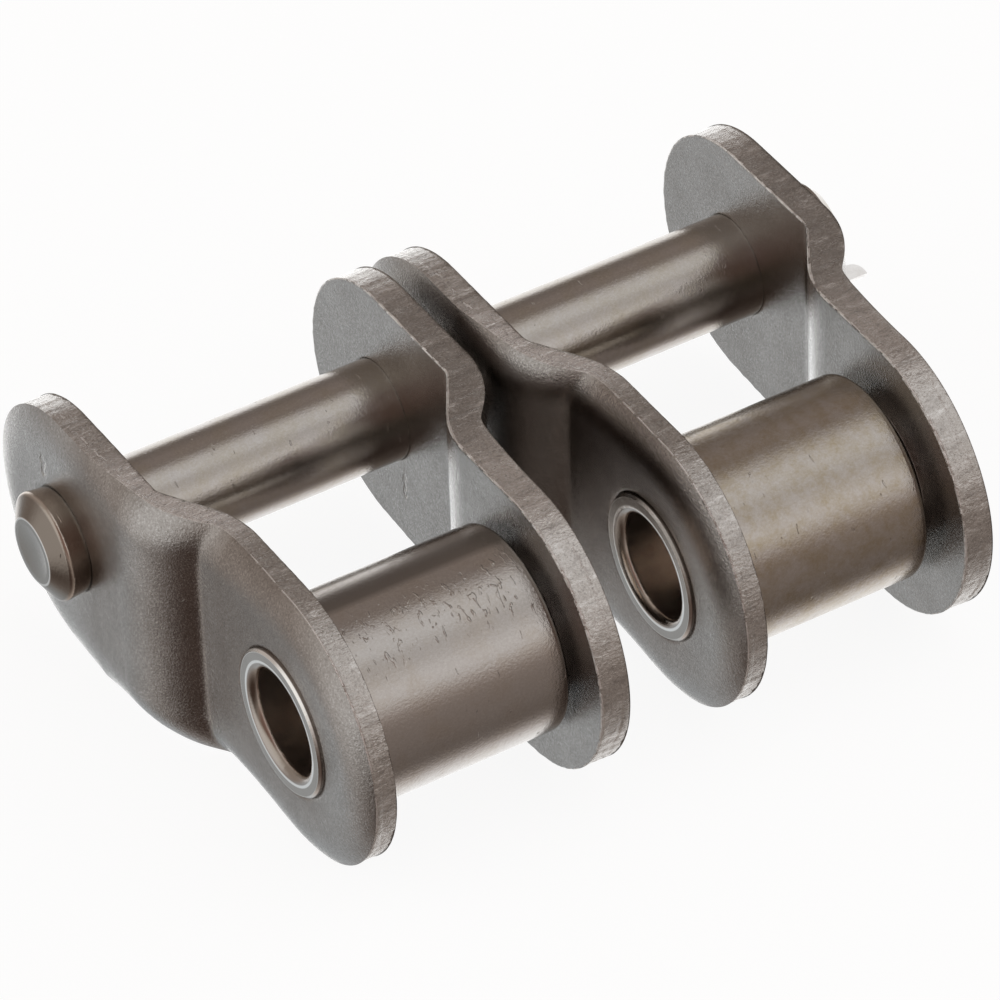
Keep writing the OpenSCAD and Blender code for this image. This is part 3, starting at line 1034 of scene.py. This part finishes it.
# Studio seen by what faces up or down: angle in the YZ plane from +Y over the top, level, warmth
STUDIO = (
    (-180, 0.37, 1.0), (-170, 0.33, 1.0), (-147, 0.28, 1.0), (-123, 0.21, 1.0), (-112, 0.30, 0.8),
    (-102, 0.70, 0.5), (-92, 1.1, 0.1), (-84, 1.25, 0.0), (-60, 1.25, 0.0), (-40, 1.4, 0.0),
    (0, 1.4, 0.0), (6, 0.60, 0.5), (13, 0.27, 0.8), (24, 0.25, 1.0), (40, 0.32, 1.0),
    (54, 0.36, 1.0), (67, 0.30, 1.0), (79, 0.72, 0.3), (88, 0.90, 0.05), (106, 0.94, 0.0),
    (117, 0.71, 0.2), (129, 0.77, 0.2), (146, 1.0, 0.1), (159, 0.90, 0.2), (168, 0.58, 0.8),
    (176, 0.41, 1.0), (180, 0.37, 1.0),
)

# Brightest level of the studio, and how much green and blue full warmth takes away
STRENGTH = 1.4
WARM_GREEN = 0.15
WARM_BLUE = 0.23

# Soft patches on the left: direction, inner and outer half angle in degrees, colour
LEFT_PATCHES = (
    ((-0.20, 0.65, -0.73), 18, 30, (0.55, 0.58, 0.60)),
    ((-0.60, -0.45, -0.66), 14, 47, (0.085, 0.058, 0.047)),
    ((-0.37, -0.66, 0.66), 26, 48, (0.27, 0.18, 0.155)),
    ((-0.88, 0.12, 0.45), 18, 38, (0.85, 0.83, 0.80)),
    ((-0.93, 0.22, -0.05), 20, 38, (0.95, 0.94, 0.93)),
)
LEFT_LEVEL = (0.45, 0.40, 0.37)

# Where the left begins, across X; below LOW it reaches further right, by LOW_SHIFT at the X of
# LOW_EDGE[1] and not at all at LOW_EDGE[0], so that lower rims stay grey and cylinders don't
LEFT_EDGE = (0.03, -0.22)
LOW = 0.66
LOW_EDGE = (0.36, 0.24)
LOW_SHIFT = 3.0


def add_world():
    """Studio that the steel mirrors, and plain white to the camera."""
    world = bpy.data.worlds.new("studio")
    bpy.context.scene.world = world
    world.use_nodes = True
    shader = Shader(world.node_tree)
    way = shader.node("ShaderNodeTexCoord").outputs["Generated"]
    parts = shader.node("ShaderNodeSeparateXYZ", {"Vector": way})
    angle = shader.math("ARCTAN2", parts.outputs["Z"], parts.outputs["Y"])
    ramp = shader.node("ShaderNodeValToRGB", {"Fac": shader.fit(angle, -pi, pi)})
    stops = ramp.color_ramp.elements
    while len(stops) < len(STUDIO):
        stops.new(0.5)
    for stop, (degrees, level, warmth) in zip(stops, STUDIO):
        stop.position = (degrees + 180) / 360
        share = level / STRENGTH
        stop.color = (share, share * (1 - WARM_GREEN * warmth),
                      share * (1 - WARM_BLUE * warmth), 1.0)
    left = tuple(c / STRENGTH for c in LEFT_LEVEL)
    for direction, inner, outer, colour in LEFT_PATCHES:
        unit = Vector(direction).normalized()
        near = shader.node("ShaderNodeVectorMath", {0: way, 1: unit}, operation="DOT_PRODUCT")
        share = shader.fit(near.outputs["Value"], cos(radians(outer)), cos(radians(inner)))
        left = shader.blend(share, left, tuple(c / STRENGTH for c in colour))
    below = shader.math("MINIMUM", shader.math("ADD", parts.outputs["Z"], LOW), 0.0)
    shift = shader.fit(parts.outputs["X"], *LOW_EDGE, 0.0, LOW_SHIFT)
    sideways = shader.math("ADD", parts.outputs["X"], shader.math("MULTIPLY", below, shift))
    leftness = shader.fit(sideways, *LEFT_EDGE)
    colour = shader.blend(leftness, ramp.outputs["Color"], left)
    light = shader.node("ShaderNodeBackground", {"Color": colour, "Strength": STRENGTH})
    white = shader.node("ShaderNodeBackground", {"Color": (1.0, 1.0, 1.0, 1.0), "Strength": 1.0})
    seen = shader.node("ShaderNodeLightPath").outputs["Is Camera Ray"]
    both = shader.node("ShaderNodeMixShader", {0: seen, 1: light.outputs[0], 2: white.outputs[0]})
    shader.node("ShaderNodeOutputWorld", {"Surface": both.outputs[0]})


add_camera()
look = make_materials()
add_plates(look)
dress_nodes(look)
add_floor()
add_world()

bpy.context.scene.view_settings.view_transform = "Standard"
